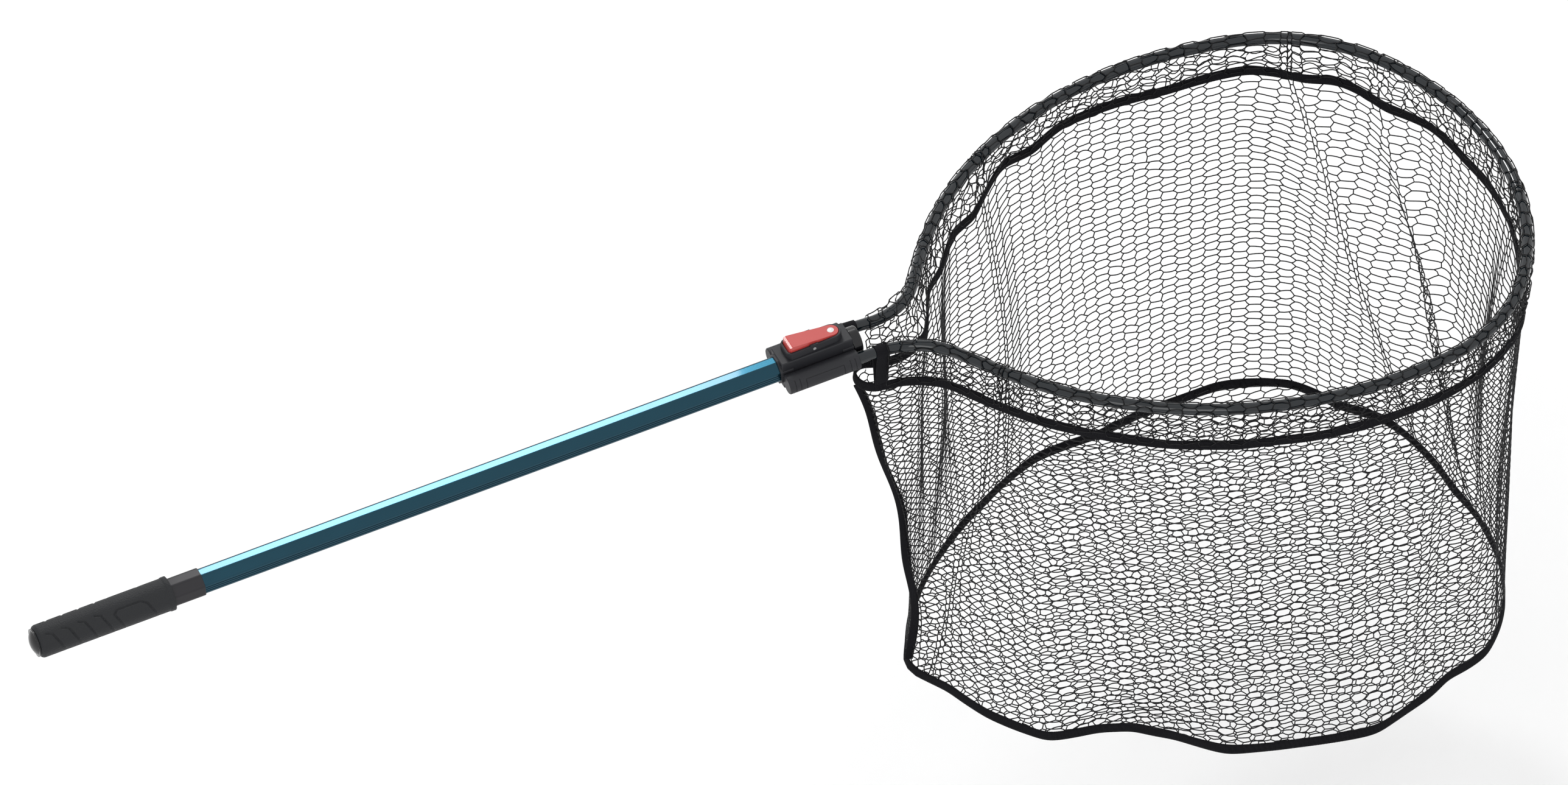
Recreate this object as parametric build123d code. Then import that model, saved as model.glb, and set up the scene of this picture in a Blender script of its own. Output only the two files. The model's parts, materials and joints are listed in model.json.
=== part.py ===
from build123d import *
from math import asin, atan2, cos, degrees, hypot, radians, sin, sqrt, tan
import os

# Landing net with a sliding handle, in millimetres.
# X runs along the handle towards the hoop, Z is up and the net is symmetric about Y = 0.
# The origin is on the handle's axis, at the middle of the hand grip.

# Handle
TUBE_FLAT = 13.1            # octagonal tube, from its axis to a flat
TUBE_WALL = 1.5
TUBE_CORNER = 4.0
FLUTE_DEPTH, FLUTE_WIDTH, FLUTE_PITCH = 0.35, 1.1, 2.5
GRIP_LENGTH, GRIP_RADIUS = 148.0, 17.5
GRIP_REAR_ROUND, GRIP_RIM, GRIP_RIM_LENGTH = 5.0, 0.7, 5.0
CAP_RADIUS, CAP_DOME, CAP_SHANK = 15.0, 6.0, 18.0
COLLAR_LENGTH, COLLAR_FLAT = 34.0, 14.6
BARE_TUBE = 640.0           # from the collar to the yoke
STOP_RADIUS, STOP_LENGTH, STOP_SHANK, STOP_GAP = 15.0, 10.5, 11.0, 0.4
STOP_NOSE_ROUND, STOP_BACK_ROUND = 2.5, 0.8
PLUG_CLEARANCE = 0.2

# Yoke, the block that slides on the handle and holds the hoop's legs
YOKE_LENGTH = 79.0
YOKE_HALF_WIDTH, YOKE_TOP, YOKE_BOTTOM = 14.0, 16.5, -16.5
YOKE_EDGE_ROUND, YOKE_END_CHAMFER = 1.2, 0.8
LOBE_RADIUS = 10.5
LEG_Y, LEG_Z = 22.2, -4.5   # axis of each leg in the yoke
LEG_SOCKET = 65.0
BORE_FLAT, BUSH_OUTER_FLAT, BUSH_BORE_FLAT = 13.7, 14.7, 13.4
BUSH_LENGTH, BUSH_RIM, BUSH_RIM_FLAT = 12.0, 2.4, 15.2
SCREW_RADIUS, SCREW_HEAD_RADIUS, SCREW_HEAD_HEIGHT = 2.0, 3.6, 2.4
SCREW_TOP, SCREW_BORE_TOP, SCREW_SLOT = 2.0, 2.5, (1.0, 5.0, 1.6)
SCREW_INSETS = (24.0, 54.0)  # from the yoke's front end
GROOVE_DEPTH, GROOVE_WIDTH = 0.6, 0.9
GROOVE_INSETS = (6.0, 11.5)  # from each end of the yoke
PANEL_INSET, PANEL_ANGLES = 18.0, (-60.0, 40.0)

# Hoop
HOOP_RADIUS, HOOP_WALL = 6.0, 1.5
HOOP_TILT = 5.1             # degrees the hoop's plane drops from the handle's line
HOOP_ROOT_GAP = 12.7        # from the yoke's front to the bend where the tilt starts
BEND_RADIUS = 60.0
NECK_START, NECK_RADIUS = 18.0, 78.0
PEAK_U, PEAK_V = 448.0, 273.4    # widest point of the hoop's centre line
SHOULDER_RADIUS, CHEEK_RADIUS, CORNER_RADIUS = 411.0, 430.0, 192.0
CHEEK_ANGLE, CORNER_ANGLE = 12.0, 57.0

# Net and its tapes; depths are measured down from the hoop's plane
NET_THICKNESS = 0.6
RIM_GAP, RIM_THICKNESS, RIM_FOOT = 0.4, 0.5, 1.6
TAPE_TOP, TAPE_WIDTH, TAPE_HALF_THICKNESS = 43.0, 11.0, 2.2
FLOOR_DEPTH = 466.0
SOFT_GAP = 0.3
MOUTH_REAR = 15.0           # centre of the round end that closes the mouth between the legs
FLOOR_REAR_STEPS = (14.0, 26.0, 42.0, 62.0)  # half widths where the floor's rear corners turn
FLOOR_REAR_BOW = 2.0
FLOOR_INSET, FLOOR_PEAK_U = 10.0, 425.0
SEAM_WIDTH, SEAM_THICKNESS = 9.0, 1.2
STRAP_WIDTH, STRAP_GAP, STRAP_THICKNESS = 14.0, 0.3, 1.0
NEAR_STRAP_U, FAR_STRAP_U = 6.0, -10.0
RIM_START_U = 28.0

# Latch on top of the yoke
BEZEL_HEIGHT, BEZEL_WALL = 8.0, 2.1
LEVER_GAP = 0.7
LEVER_LENGTH, LEVER_REAR_WIDTH, LEVER_FRONT_RADIUS = 58.0, 19.0, 7.8
LEVER_INSET = 11.0          # from the yoke's rear to the lever's rear
LEVER_REAR_TOP, LEVER_FRONT_TOP, LEVER_REAR_LEAN = 31.0, 25.0, 1.6
LEVER_REAR_CHAMFER, BEZEL_CHAMFER, BEZEL_EDGE = 2.4, 4.0, 0.6
LEVER_REAR_UNDERSIDE, LEVER_UNDERSIDE, LEVER_FRONT_UNDERSIDE = 22.2, 18.2, 19.5
PIVOT_TAB = (9.0, 1.9, 2.4)
PIVOT_Z, PIVOT_RADIUS, PIVOT_CLEARANCE = 20.1, 1.7, 0.05
LOCK_PIN_RADIUS, LOCK_PIN_CLEARANCE, LOCK_PIN_LIFT = 2.2, 0.07, 0.3
LOCK_HEAD_RADIUS, LOCK_HEAD_Z, LOCK_HEAD_HEIGHT = 3.7, 21.15, 1.5
LOCK_HOLE_RADIUS = 2.7
SLOT_LIP_Z, SLOT_TOP_Z, SLOT_HALF_WIDTH, LIP_HALF_WIDTH = 20.3, 23.5, 4.6, 3.2
BUTTON_RADIUS, BUTTON_SEAT_Z = 3.6, 24.3
SPRING_INSET, SPRING_RADIUS, SPRING_WIRE, SPRING_TURNS = 9.0, 2.0, 0.35, 5
SPRING_POCKET_RADIUS, SPRING_POCKET_TOP = 3.4, 27.2

# Stations along the handle
GRIP_REAR = -GRIP_LENGTH / 2
GRIP_FRONT = GRIP_LENGTH / 2
COLLAR_FRONT = GRIP_FRONT + COLLAR_LENGTH
YOKE_REAR = COLLAR_FRONT + BARE_TUBE
YOKE_FRONT = YOKE_REAR + YOKE_LENGTH
HOOP_X = YOKE_FRONT + HOOP_ROOT_GAP
LEVER_REAR = YOKE_REAR + LEVER_INSET
LEVER_FRONT = LEVER_REAR + LEVER_LENGTH
PIVOT_X = LEVER_REAR + 27.0
LOCK_X = LEVER_FRONT - LEVER_FRONT_RADIUS - 0.2
SPRING_X = LEVER_REAR + SPRING_INSET

TILT = radians(HOOP_TILT)
HOOP_PLANE = Plane(
    origin=(HOOP_X, 0, LEG_Z),
    x_dir=(cos(TILT), 0, -sin(TILT)),
    z_dir=(sin(TILT), 0, cos(TILT)),
)


def octagon(flat, corner):
    """Rounded octagon in the YZ plane with a flat on top."""
    shape = Plane.YZ * RegularPolygon(flat, 8, major_radius=False, rotation=22.5)
    return fillet(shape.vertices(), corner)


def bar(face, start, end):
    """Solid of a YZ face between two stations."""
    return extrude(Pos(start, 0, 0) * face, amount=end - start, dir=(1, 0, 0))


def rod(radius, start, end, y=0.0, z=0.0):
    """Round bar along X between two stations."""
    return bar(Plane.YZ * Pos(y, z) * Circle(radius), start, end)


def post(radius, x, y, low, high):
    """Round bar along Z."""
    return Pos(x, y, low) * Cylinder(radius, high - low, align=(Align.CENTER, Align.CENTER, Align.MIN))


def block(x_range, y_range, z_range):
    size = [high - low for low, high in (x_range, y_range, z_range)]
    corner = (x_range[0], y_range[0], z_range[0])
    return Pos(*corner) * Box(*size, align=(Align.MIN, Align.MIN, Align.MIN))


# ---------------------------------------------------------------- outlines in the hoop's plane


def turn(centre, radius, start, end):
    """Arc about a centre, between two angles in degrees."""
    points = []
    for angle in (start, (start + end) / 2, end):
        points.append((centre[0] + radius * cos(radians(angle)), centre[1] + radius * sin(radians(angle))))
    return ThreePointArc(*points)


def crown(peak_u, offset, shoulder_angle):
    """Arcs from the shoulder round to the tip, moved outwards by offset."""
    shoulder = (peak_u, PEAK_V - SHOULDER_RADIUS)
    cheek = (peak_u, PEAK_V - CHEEK_RADIUS)
    step = CHEEK_RADIUS - CORNER_RADIUS
    corner = (cheek[0] + step * sin(radians(CHEEK_ANGLE)), cheek[1] + step * cos(radians(CHEEK_ANGLE)))
    corner_end_v = corner[1] + CORNER_RADIUS * cos(radians(CORNER_ANGLE))
    tip_radius = corner_end_v / cos(radians(CORNER_ANGLE))
    back = tip_radius - CORNER_RADIUS
    tip = (corner[0] - back * sin(radians(CORNER_ANGLE)), 0.0)
    return [
        turn(shoulder, SHOULDER_RADIUS + offset, shoulder_angle, 90),
        turn(cheek, CHEEK_RADIUS + offset, 90, 90 - CHEEK_ANGLE),
        turn(corner, CORNER_RADIUS + offset, 90 - CHEEK_ANGLE, 90 - CORNER_ANGLE),
        turn(tip, tip_radius + offset, 90 - CORNER_ANGLE, 0),
    ]


def hoop_side(first_u, offset=0.0):
    """One side of the hoop's shape, from first_u to the tip, moved outwards by offset."""
    neck = (NECK_START, LEG_Y + NECK_RADIUS)
    shoulder = (PEAK_U, PEAK_V - SHOULDER_RADIUS)
    span = hypot(shoulder[0] - neck[0], shoulder[1] - neck[1])
    slope = atan2(shoulder[1] - neck[1], shoulder[0] - neck[0])
    flare = degrees(slope + asin((NECK_RADIUS + SHOULDER_RADIUS) / span))
    if first_u < NECK_START:
        leg = [Line((first_u, LEG_Y + offset), (NECK_START, LEG_Y + offset))]
        neck_begin = 0.0
    else:
        leg = []
        neck_begin = degrees(asin((first_u - NECK_START) / NECK_RADIUS))
    neck_arc = turn(neck, NECK_RADIUS - offset, neck_begin - 90, flare - 90)
    arcs = crown(PEAK_U, offset, 90 + flare)
    return [*leg, neck_arc, Line(neck_arc @ 1, arcs[0] @ 0), *arcs]


def floor_side(offset):
    """One side of the bag's floor, whose rear is cut off square where the shoulders meet it."""
    radius = SHOULDER_RADIUS - FLOOR_INSET + offset
    centre_v = PEAK_V - SHOULDER_RADIUS
    corners = []
    for v in FLOOR_REAR_STEPS:
        corners.append((FLOOR_PEAK_U - sqrt(radius**2 - (v - centre_v) ** 2), v))
    steps = [Line(corners[i], corners[i + 1]) for i in range(3)]
    angle = degrees(atan2(corners[3][1] - centre_v, corners[3][0] - FLOOR_PEAK_U))
    return [*steps, *crown(FLOOR_PEAK_U, offset - FLOOR_INSET, angle)]


def closed_face(side, rear, depth):
    """Face at a depth below the hoop, from one side's edges, their mirror image and the rear edge."""
    mirrored = [edge.mirror(Plane.XZ) for edge in side]
    return HOOP_PLANE * Pos(0, 0, -depth) * make_face(Wire([rear, *side, *mirrored]))


def mouth_face(depth, offset=0.0):
    """The bag's plan shape at its mouth, closed by a round end between the legs."""
    rear = turn((MOUTH_REAR, 0), LEG_Y + offset, 90, 270)
    return closed_face(hoop_side(MOUTH_REAR, offset), rear, depth)


def floor_face(depth, offset=0.0):
    side = floor_side(offset)
    start = side[0] @ 0
    rear = ThreePointArc((start.X, start.Y), (start.X - FLOOR_REAR_BOW, 0), (start.X, -start.Y))
    return closed_face(side, rear, depth)


def band(face_at, top, half_thickness):
    """Upright tape that follows one of the bag's outlines."""
    down = -HOOP_PLANE.z_dir
    outer = extrude(face_at(top, half_thickness), amount=TAPE_WIDTH, dir=down)
    return outer - extrude(face_at(top, -half_thickness), amount=TAPE_WIDTH, dir=down)


def hoop_path(first_u):
    """The hoop's centre line from one leg round to the other, in its own plane."""
    side = [HOOP_PLANE * edge for edge in hoop_side(first_u)]
    other = [edge.mirror(Plane.XZ) for edge in side]
    return side, other


def hairpin(radius, thickness, foot):
    """Section of a band folded over a tube, closing in towards its foot at the tape."""

    def filled(reach, toe):
        top = Circle(reach) - Pos(0, -reach) * Rectangle(3 * reach, 2 * reach)
        skirt = Polygon((-reach, 0), (-toe, -TAPE_TOP), (toe, -TAPE_TOP), (reach, 0), align=None)
        return top + skirt

    return filled(radius + thickness, foot) - filled(radius, foot - thickness)


# ---------------------------------------------------------------- handle


def handle_tube():
    end = YOKE_FRONT + STOP_GAP
    face = octagon(TUBE_FLAT, TUBE_CORNER)
    for side in (-1, 1):
        for row in (-1, 0, 1):
            at = Pos(side * TUBE_FLAT, row * FLUTE_PITCH)
            face -= Plane.YZ * at * Rectangle(2 * FLUTE_DEPTH, FLUTE_WIDTH)
    face -= octagon(TUBE_FLAT - TUBE_WALL, TUBE_CORNER - TUBE_WALL)
    return bar(face, GRIP_REAR, end) - post(LOCK_HOLE_RADIUS, LOCK_X, 0, 0, 2 * TUBE_FLAT)


def grip():
    body = rod(GRIP_RADIUS, GRIP_REAR, GRIP_FRONT)
    body = fillet(body.edges().filter_by(GeomType.CIRCLE).group_by(Axis.X)[0], GRIP_REAR_ROUND)
    rim = rod(GRIP_RADIUS + GRIP_RIM, GRIP_FRONT - GRIP_RIM_LENGTH, GRIP_FRONT)
    rim = fillet(rim.edges().filter_by(GeomType.CIRCLE), GRIP_RIM * 0.9)
    return body + rim - bar(octagon(TUBE_FLAT, TUBE_CORNER), GRIP_REAR - 1, GRIP_FRONT + 1)


def grip_end_cap():
    rim = 1.5
    dome_radius = (CAP_RADIUS**2 + CAP_DOME**2) / (2 * CAP_DOME)
    ball = Pos(GRIP_REAR - CAP_DOME + dome_radius, 0, 0) * Sphere(dome_radius)
    dome = ball & rod(CAP_RADIUS, GRIP_REAR - CAP_DOME, GRIP_REAR)
    dome = dome + rod(CAP_RADIUS, GRIP_REAR - rim, GRIP_REAR)
    shank = rod(TUBE_FLAT - TUBE_WALL - PLUG_CLEARANCE, GRIP_REAR - rim, GRIP_REAR + CAP_SHANK)
    return dome + shank


def grip_collar():
    sleeve = bar(octagon(COLLAR_FLAT, TUBE_CORNER + 1), GRIP_FRONT, COLLAR_FRONT)
    sleeve = chamfer(sleeve.edges().group_by(Axis.X)[-1], 0.5)
    return sleeve - bar(octagon(TUBE_FLAT, TUBE_CORNER), GRIP_FRONT - 1, COLLAR_FRONT + 1)


def front_stop():
    start = YOKE_FRONT + STOP_GAP
    cap = rod(STOP_RADIUS, start, start + STOP_LENGTH)
    cap = fillet(cap.edges().filter_by(GeomType.CIRCLE).group_by(Axis.X)[-1], STOP_NOSE_ROUND)
    cap = fillet(cap.edges().filter_by(GeomType.CIRCLE).group_by(Axis.X)[0], STOP_BACK_ROUND)
    shank = rod(TUBE_FLAT - TUBE_WALL - PLUG_CLEARANCE, start - STOP_SHANK, start + 1)
    return cap + shank


# ---------------------------------------------------------------- yoke


def lobe_groove(station, side):
    """Ring that cuts a groove round a lobe at a station along the handle."""
    ring = rod(LOBE_RADIUS + 1, station, station + GROOVE_WIDTH, side * LEG_Y, LEG_Z)
    return ring - rod(LOBE_RADIUS - GROOVE_DEPTH, station - 1, station + 2, side * LEG_Y, LEG_Z)


def lobe_grooves():
    """Grooves round the outside of each lobe: two at each end and an outlined panel between."""
    cuts = []
    panel_rear, panel_front = PANEL_INSET, YOKE_LENGTH - PANEL_INSET - GROOVE_WIDTH
    for side in (-1, 1):
        outer = sorted((side * LEG_Y, side * (LEG_Y + 2 * LOBE_RADIUS)))
        reach = block((YOKE_REAR, YOKE_FRONT), outer, (YOKE_BOTTOM, LEG_Z + LOBE_RADIUS * 0.8))
        for inset in GROOVE_INSETS:
            for start in (YOKE_REAR + inset, YOKE_FRONT - inset):
                cuts.append(lobe_groove(start, side) & reach)
        for angle in PANEL_ANGLES:
            line = Box(panel_front - panel_rear, 2 * GROOVE_DEPTH, GROOVE_WIDTH)
            turned = Rot(angle, 0, 0) * Pos(0, LOBE_RADIUS, 0) * line
            if side < 0:
                turned = turned.mirror(Plane.XZ)
            cuts.append(Pos(YOKE_REAR + YOKE_LENGTH / 2, side * LEG_Y, LEG_Z) * turned)
        low, high = (LEG_Z + LOBE_RADIUS * sin(radians(angle)) for angle in PANEL_ANGLES)
        for inset in (panel_rear, panel_front):
            start = YOKE_REAR + inset
            cuts.append(lobe_groove(start, side) & block((start - 1, start + 2), outer, (low, high)))
    return cuts


def screw_places():
    for inset in SCREW_INSETS:
        for side in (-1, 1):
            yield YOKE_FRONT - inset, side * LEG_Y


def yoke_block():
    """The whole yoke before it is parted at the level of the legs."""
    face = Plane.YZ * Rectangle(2 * YOKE_HALF_WIDTH, YOKE_TOP - YOKE_BOTTOM)
    face = fillet(face.vertices(), YOKE_EDGE_ROUND)
    for side in (-1, 1):
        face += Plane.YZ * Pos(side * LEG_Y, LEG_Z) * Circle(LOBE_RADIUS)
    body = bar(face, YOKE_REAR, YOKE_FRONT)
    ends = body.edges().group_by(Axis.X)
    body = chamfer(ends[0] + ends[-1], YOKE_END_CHAMFER)
    body -= bar(octagon(BORE_FLAT, TUBE_CORNER), YOKE_REAR - 1, YOKE_FRONT + 1)
    seat = octagon(BUSH_OUTER_FLAT, TUBE_CORNER)
    body -= bar(seat, YOKE_REAR - 1, YOKE_REAR + BUSH_LENGTH)
    body -= bar(seat, YOKE_FRONT - BUSH_LENGTH, YOKE_FRONT + 1)
    for side in (-1, 1):
        body -= rod(HOOP_RADIUS, YOKE_FRONT - LEG_SOCKET, YOKE_FRONT + 1, side * LEG_Y, LEG_Z)
    for x, y in screw_places():
        body -= post(SCREW_RADIUS, x, y, YOKE_BOTTOM, SCREW_BORE_TOP)
        body -= post(SCREW_HEAD_RADIUS, x, y, YOKE_BOTTOM, LEG_Z - LOBE_RADIUS + SCREW_HEAD_HEIGHT)
    body -= post(LOCK_PIN_RADIUS + LOCK_PIN_CLEARANCE, LOCK_X, 0, 0, 2 * YOKE_TOP)
    for cut in lobe_grooves():
        body -= cut
    return body


def yoke_half(body, upper):
    z_range = (LEG_Z, 2 * YOKE_TOP) if upper else (2 * YOKE_BOTTOM, LEG_Z)
    return body & block((YOKE_REAR - 5, YOKE_FRONT + 5), (-60, 60), z_range)


def guide_bush(start, rim_at):
    """Sleeve the tube runs in; rim_at is where its visible rim starts, or None."""
    sleeve = bar(octagon(BUSH_OUTER_FLAT, TUBE_CORNER), start, start + BUSH_LENGTH)
    if rim_at is not None:
        sleeve += bar(octagon(BUSH_RIM_FLAT, TUBE_CORNER), rim_at, rim_at + BUSH_RIM)
    return sleeve - bar(octagon(BUSH_BORE_FLAT, TUBE_CORNER), start - 5, start + BUSH_LENGTH + 5)


def yoke_screws():
    low = LEG_Z - LOBE_RADIUS
    screws = []
    for x, y in screw_places():
        head = post(SCREW_HEAD_RADIUS, x, y, low + 0.2, low + SCREW_HEAD_HEIGHT)
        head -= Pos(x, y, low) * Box(*SCREW_SLOT)
        screws.append(head + post(SCREW_RADIUS, x, y, low + 1.0, SCREW_TOP))
    return Compound(children=screws)


# ---------------------------------------------------------------- latch


def latch_outline(grow, chamfer_size):
    """Plan shape of the lever, widened by grow: square with cut corners behind, round in front."""
    centre_x = LEVER_FRONT - LEVER_FRONT_RADIUS
    rear_x = LEVER_REAR - grow
    half = LEVER_REAR_WIDTH / 2 + grow
    cut = chamfer_size
    rear = Polygon(
        (rear_x + 8, -half), (rear_x + 8, half), (rear_x + cut, half), (rear_x, half - cut),
        (rear_x, -half + cut), (rear_x + cut, -half), align=None,
    )
    nose = Pos(centre_x, 0) * Circle(LEVER_FRONT_RADIUS + grow)
    return make_hull(rear.edges() + nose.edges())


def latch_bezel():
    outer = extrude(Pos(0, 0, YOKE_TOP) * latch_outline(LEVER_GAP + BEZEL_WALL, BEZEL_CHAMFER), BEZEL_HEIGHT)
    outer = chamfer(outer.edges().group_by(Axis.Z)[-1], BEZEL_EDGE)
    for side in (-1, 1):
        y_mid = side * (LEVER_REAR_WIDTH / 2 + LEVER_GAP + 0.4)
        tab = Pos(PIVOT_X, y_mid, YOKE_TOP + BEZEL_HEIGHT) * Box(*PIVOT_TAB)
        outer += tab
    inner = Pos(0, 0, YOKE_TOP - 1) * latch_outline(LEVER_GAP, LEVER_REAR_CHAMFER)
    frame = outer - extrude(inner, BEZEL_HEIGHT + 6)
    return frame - pivot_bar(PIVOT_RADIUS)


def pivot_bar(radius):
    half = LEVER_REAR_WIDTH / 2 + LEVER_GAP + BEZEL_WALL - 0.6
    return Pos(PIVOT_X, 0, PIVOT_Z) * Rot(90, 0, 0) * Cylinder(radius, 2 * half)


def latch_lever():
    """Rocking lever; its rear face leans forward so that it clears the bezel as it swings down."""
    rear, top = LEVER_REAR + LEVER_REAR_LEAN, LEVER_REAR_TOP
    side = Polygon(
        (LEVER_REAR, LEVER_REAR_UNDERSIDE), (PIVOT_X - 6, LEVER_UNDERSIDE), (PIVOT_X + 6, LEVER_UNDERSIDE),
        (LEVER_FRONT, LEVER_FRONT_UNDERSIDE),
        (LEVER_FRONT, LEVER_FRONT_TOP), (LEVER_REAR + 5, top - 0.5), (LEVER_REAR + 4, top - 0.9),
        (rear, top - 1.2), align=None,
    )
    body = extrude(Plane.XZ * side, LEVER_REAR_WIDTH, both=True)
    body &= extrude(Pos(0, 0, YOKE_TOP) * latch_outline(0.0, LEVER_REAR_CHAMFER), 30)
    body -= pivot_bar(PIVOT_RADIUS + PIVOT_CLEARANCE)
    far = LEVER_FRONT + 1
    body -= block((LOCK_X - 4.8, far), (-SLOT_HALF_WIDTH, SLOT_HALF_WIDTH), (SLOT_LIP_Z, SLOT_TOP_Z))
    body -= block((LOCK_X - 3.4, far), (-LIP_HALF_WIDTH, LIP_HALF_WIDTH), (YOKE_TOP, SLOT_LIP_Z + 0.1))
    body -= post(BUTTON_RADIUS, LOCK_X, 0, BUTTON_SEAT_Z, BUTTON_SEAT_Z + 5)
    return body - post(SPRING_POCKET_RADIUS, SPRING_X, 0, YOKE_TOP, SPRING_POCKET_TOP)


def lever_button():
    stem_top = LEVER_FRONT_TOP + 0.9
    bow = 0.7
    dome_radius = (BUTTON_RADIUS**2 + bow**2) / (2 * bow)
    ball = Pos(LOCK_X, 0, stem_top + bow - dome_radius) * Sphere(dome_radius)
    return post(BUTTON_RADIUS, LOCK_X, 0, BUTTON_SEAT_Z, stem_top + bow) & ball


def lock_pin():
    """Locking pin, drawn just clear of the tube over its hole, with a head held in the lever's slot."""
    tip = TUBE_FLAT + LOCK_PIN_LIFT
    pin = post(LOCK_PIN_RADIUS, LOCK_X, 0, tip, LOCK_HEAD_Z + 0.5)
    pin = chamfer(pin.edges().group_by(Axis.Z)[0], 0.5)
    return pin + post(LOCK_HEAD_RADIUS, LOCK_X, 0, LOCK_HEAD_Z, LOCK_HEAD_Z + LOCK_HEAD_HEIGHT)


def latch_spring():
    low, high = YOKE_TOP + SPRING_WIRE + 0.05, SPRING_POCKET_TOP - SPRING_WIRE - 0.2
    pitch = (high - low) / SPRING_TURNS
    path = Pos(SPRING_X, 0, low) * Helix(pitch, high - low, SPRING_RADIUS)
    section = Plane(origin=path @ 0, z_dir=path % 0) * Circle(SPRING_WIRE)
    return sweep(section, path=path, is_frenet=True)


# ---------------------------------------------------------------- hoop


def hoop_centre_line():
    """From the end of one leg in the yoke, round the hoop, to the end of the other leg."""
    reach = BEND_RADIUS * tan(TILT / 2)
    start_x = YOKE_FRONT - LEG_SOCKET
    bend_mid = (
        HOOP_X - reach + BEND_RADIUS * sin(TILT / 2), LEG_Y, LEG_Z - BEND_RADIUS * (1 - cos(TILT / 2)),
    )
    side, other = hoop_path(reach)
    leg = Line((start_x, LEG_Y, LEG_Z), (HOOP_X - reach, LEG_Y, LEG_Z))
    bend = ThreePointArc(leg @ 1, bend_mid, side[0] @ 0)
    near = [edge.mirror(Plane.XZ) for edge in (leg, bend)]
    return Wire([leg, bend, *side, *other, *near])


def hoop_tube():
    path = hoop_centre_line()
    start = Plane(origin=(YOKE_FRONT - LEG_SOCKET, LEG_Y, LEG_Z), z_dir=(1, 0, 0))
    tube = sweep(start * Circle(HOOP_RADIUS), path=path)
    tube -= sweep(start * Circle(HOOP_RADIUS - HOOP_WALL), path=path)
    for x, y in screw_places():
        tube -= post(SCREW_RADIUS, x, y, YOKE_BOTTOM, 3)
    return tube


def hoop_end_plugs():
    start = YOKE_FRONT - LEG_SOCKET
    plugs = [rod(HOOP_RADIUS - HOOP_WALL, start, start + 8, side * LEG_Y, LEG_Z) for side in (-1, 1)]
    return Compound(children=plugs)


# ---------------------------------------------------------------- net, tapes and straps


def net_rim():
    side, other = hoop_path(RIM_START_U)
    path = Wire([*side, *other])
    section_plane = Plane(origin=side[0] @ 0, x_dir=(0, 1, 0), z_dir=HOOP_PLANE.x_dir)
    section = section_plane * hairpin(HOOP_RADIUS + RIM_GAP, RIM_THICKNESS, RIM_FOOT)
    return sweep(section, path=path)


def strap(first_u, side):
    plane = Plane(
        origin=HOOP_PLANE.from_local_coords(Vector(first_u, side * LEG_Y, 0)),
        x_dir=(0, 1, 0), z_dir=HOOP_PLANE.x_dir,
    )
    section = plane * hairpin(HOOP_RADIUS + STRAP_GAP, STRAP_THICKNESS, RIM_FOOT)
    return extrude(section, amount=STRAP_WIDTH)


def net_side():
    top = TAPE_TOP + TAPE_WIDTH + SOFT_GAP
    bottom = FLOOR_DEPTH - TAPE_WIDTH / 2 - SOFT_GAP
    outer, inner = (
        loft([mouth_face(top, offset), floor_face(bottom, offset)], ruled=True)
        for offset in (NET_THICKNESS / 2, -NET_THICKNESS / 2)
    )
    return outer - inner


def net_bottom():
    face = floor_face(FLOOR_DEPTH, -TAPE_HALF_THICKNESS - SOFT_GAP)
    return extrude(face, amount=NET_THICKNESS, dir=HOOP_PLANE.z_dir)


def upper_tape():
    return band(mouth_face, TAPE_TOP, TAPE_HALF_THICKNESS)


def bottom_tape():
    return band(floor_face, FLOOR_DEPTH - TAPE_WIDTH / 2, TAPE_HALF_THICKNESS)


def seam_tape():
    top, bottom = TAPE_TOP + TAPE_WIDTH + 3, FLOOR_DEPTH - TAPE_WIDTH / 2 - 3
    stand_off = NET_THICKNESS / 2 + SOFT_GAP + 0.2
    top_u = MOUTH_REAR - LEG_Y - stand_off
    floor_radius = SHOULDER_RADIUS - FLOOR_INSET
    rear_v = FLOOR_REAR_STEPS[0] - PEAK_V + SHOULDER_RADIUS
    bottom_u = FLOOR_PEAK_U - sqrt(floor_radius**2 - rear_v**2) - FLOOR_REAR_BOW - stand_off
    side = Polygon(
        (top_u, -top), (bottom_u, -bottom), (bottom_u - SEAM_THICKNESS, -bottom),
        (top_u - SEAM_THICKNESS, -top), align=None,
    )
    plane = Plane(origin=HOOP_PLANE.origin, x_dir=HOOP_PLANE.x_dir, z_dir=(0, -1, 0))
    return extrude(plane * side, SEAM_WIDTH / 2, both=True)


# ---------------------------------------------------------------- writing


def build():
    yoke = yoke_block()
    return {
        "handle_tube": handle_tube(),
        "grip": grip(),
        "grip_end_cap": grip_end_cap(),
        "grip_collar": grip_collar(),
        "front_stop": front_stop(),
        "yoke_upper_shell": yoke_half(yoke, True),
        "yoke_lower_shell": yoke_half(yoke, False),
        "rear_guide_bush": guide_bush(YOKE_REAR, YOKE_REAR - BUSH_RIM),
        "front_guide_bush": guide_bush(YOKE_FRONT - BUSH_LENGTH, None),
        "yoke_screws": yoke_screws(),
        "latch_bezel": latch_bezel(),
        "latch_lever": latch_lever(),
        "lever_button": lever_button(),
        "lever_pivot_pin": pivot_bar(PIVOT_RADIUS),
        "lock_pin": lock_pin(),
        "latch_spring": latch_spring(),
        "hoop_tube": hoop_tube(),
        "hoop_end_plugs": hoop_end_plugs(),
        "net_rim": net_rim(),
        "net_side": net_side(),
        "net_bottom": net_bottom(),
        "upper_tape": upper_tape(),
        "bottom_tape": bottom_tape(),
        "seam_tape": seam_tape(),
        "near_strap": strap(NEAR_STRAP_U, -1),
        "far_strap": strap(FAR_STRAP_U, 1),
    }


os.makedirs("parts", exist_ok=True)
for name, part in build().items():
    export_step(part, f"parts/{name}.step")
    print(name, round(part.volume))
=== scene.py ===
"""The landing net's looks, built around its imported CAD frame. Metres, in the frame's own axes."""

import json
import math

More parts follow.
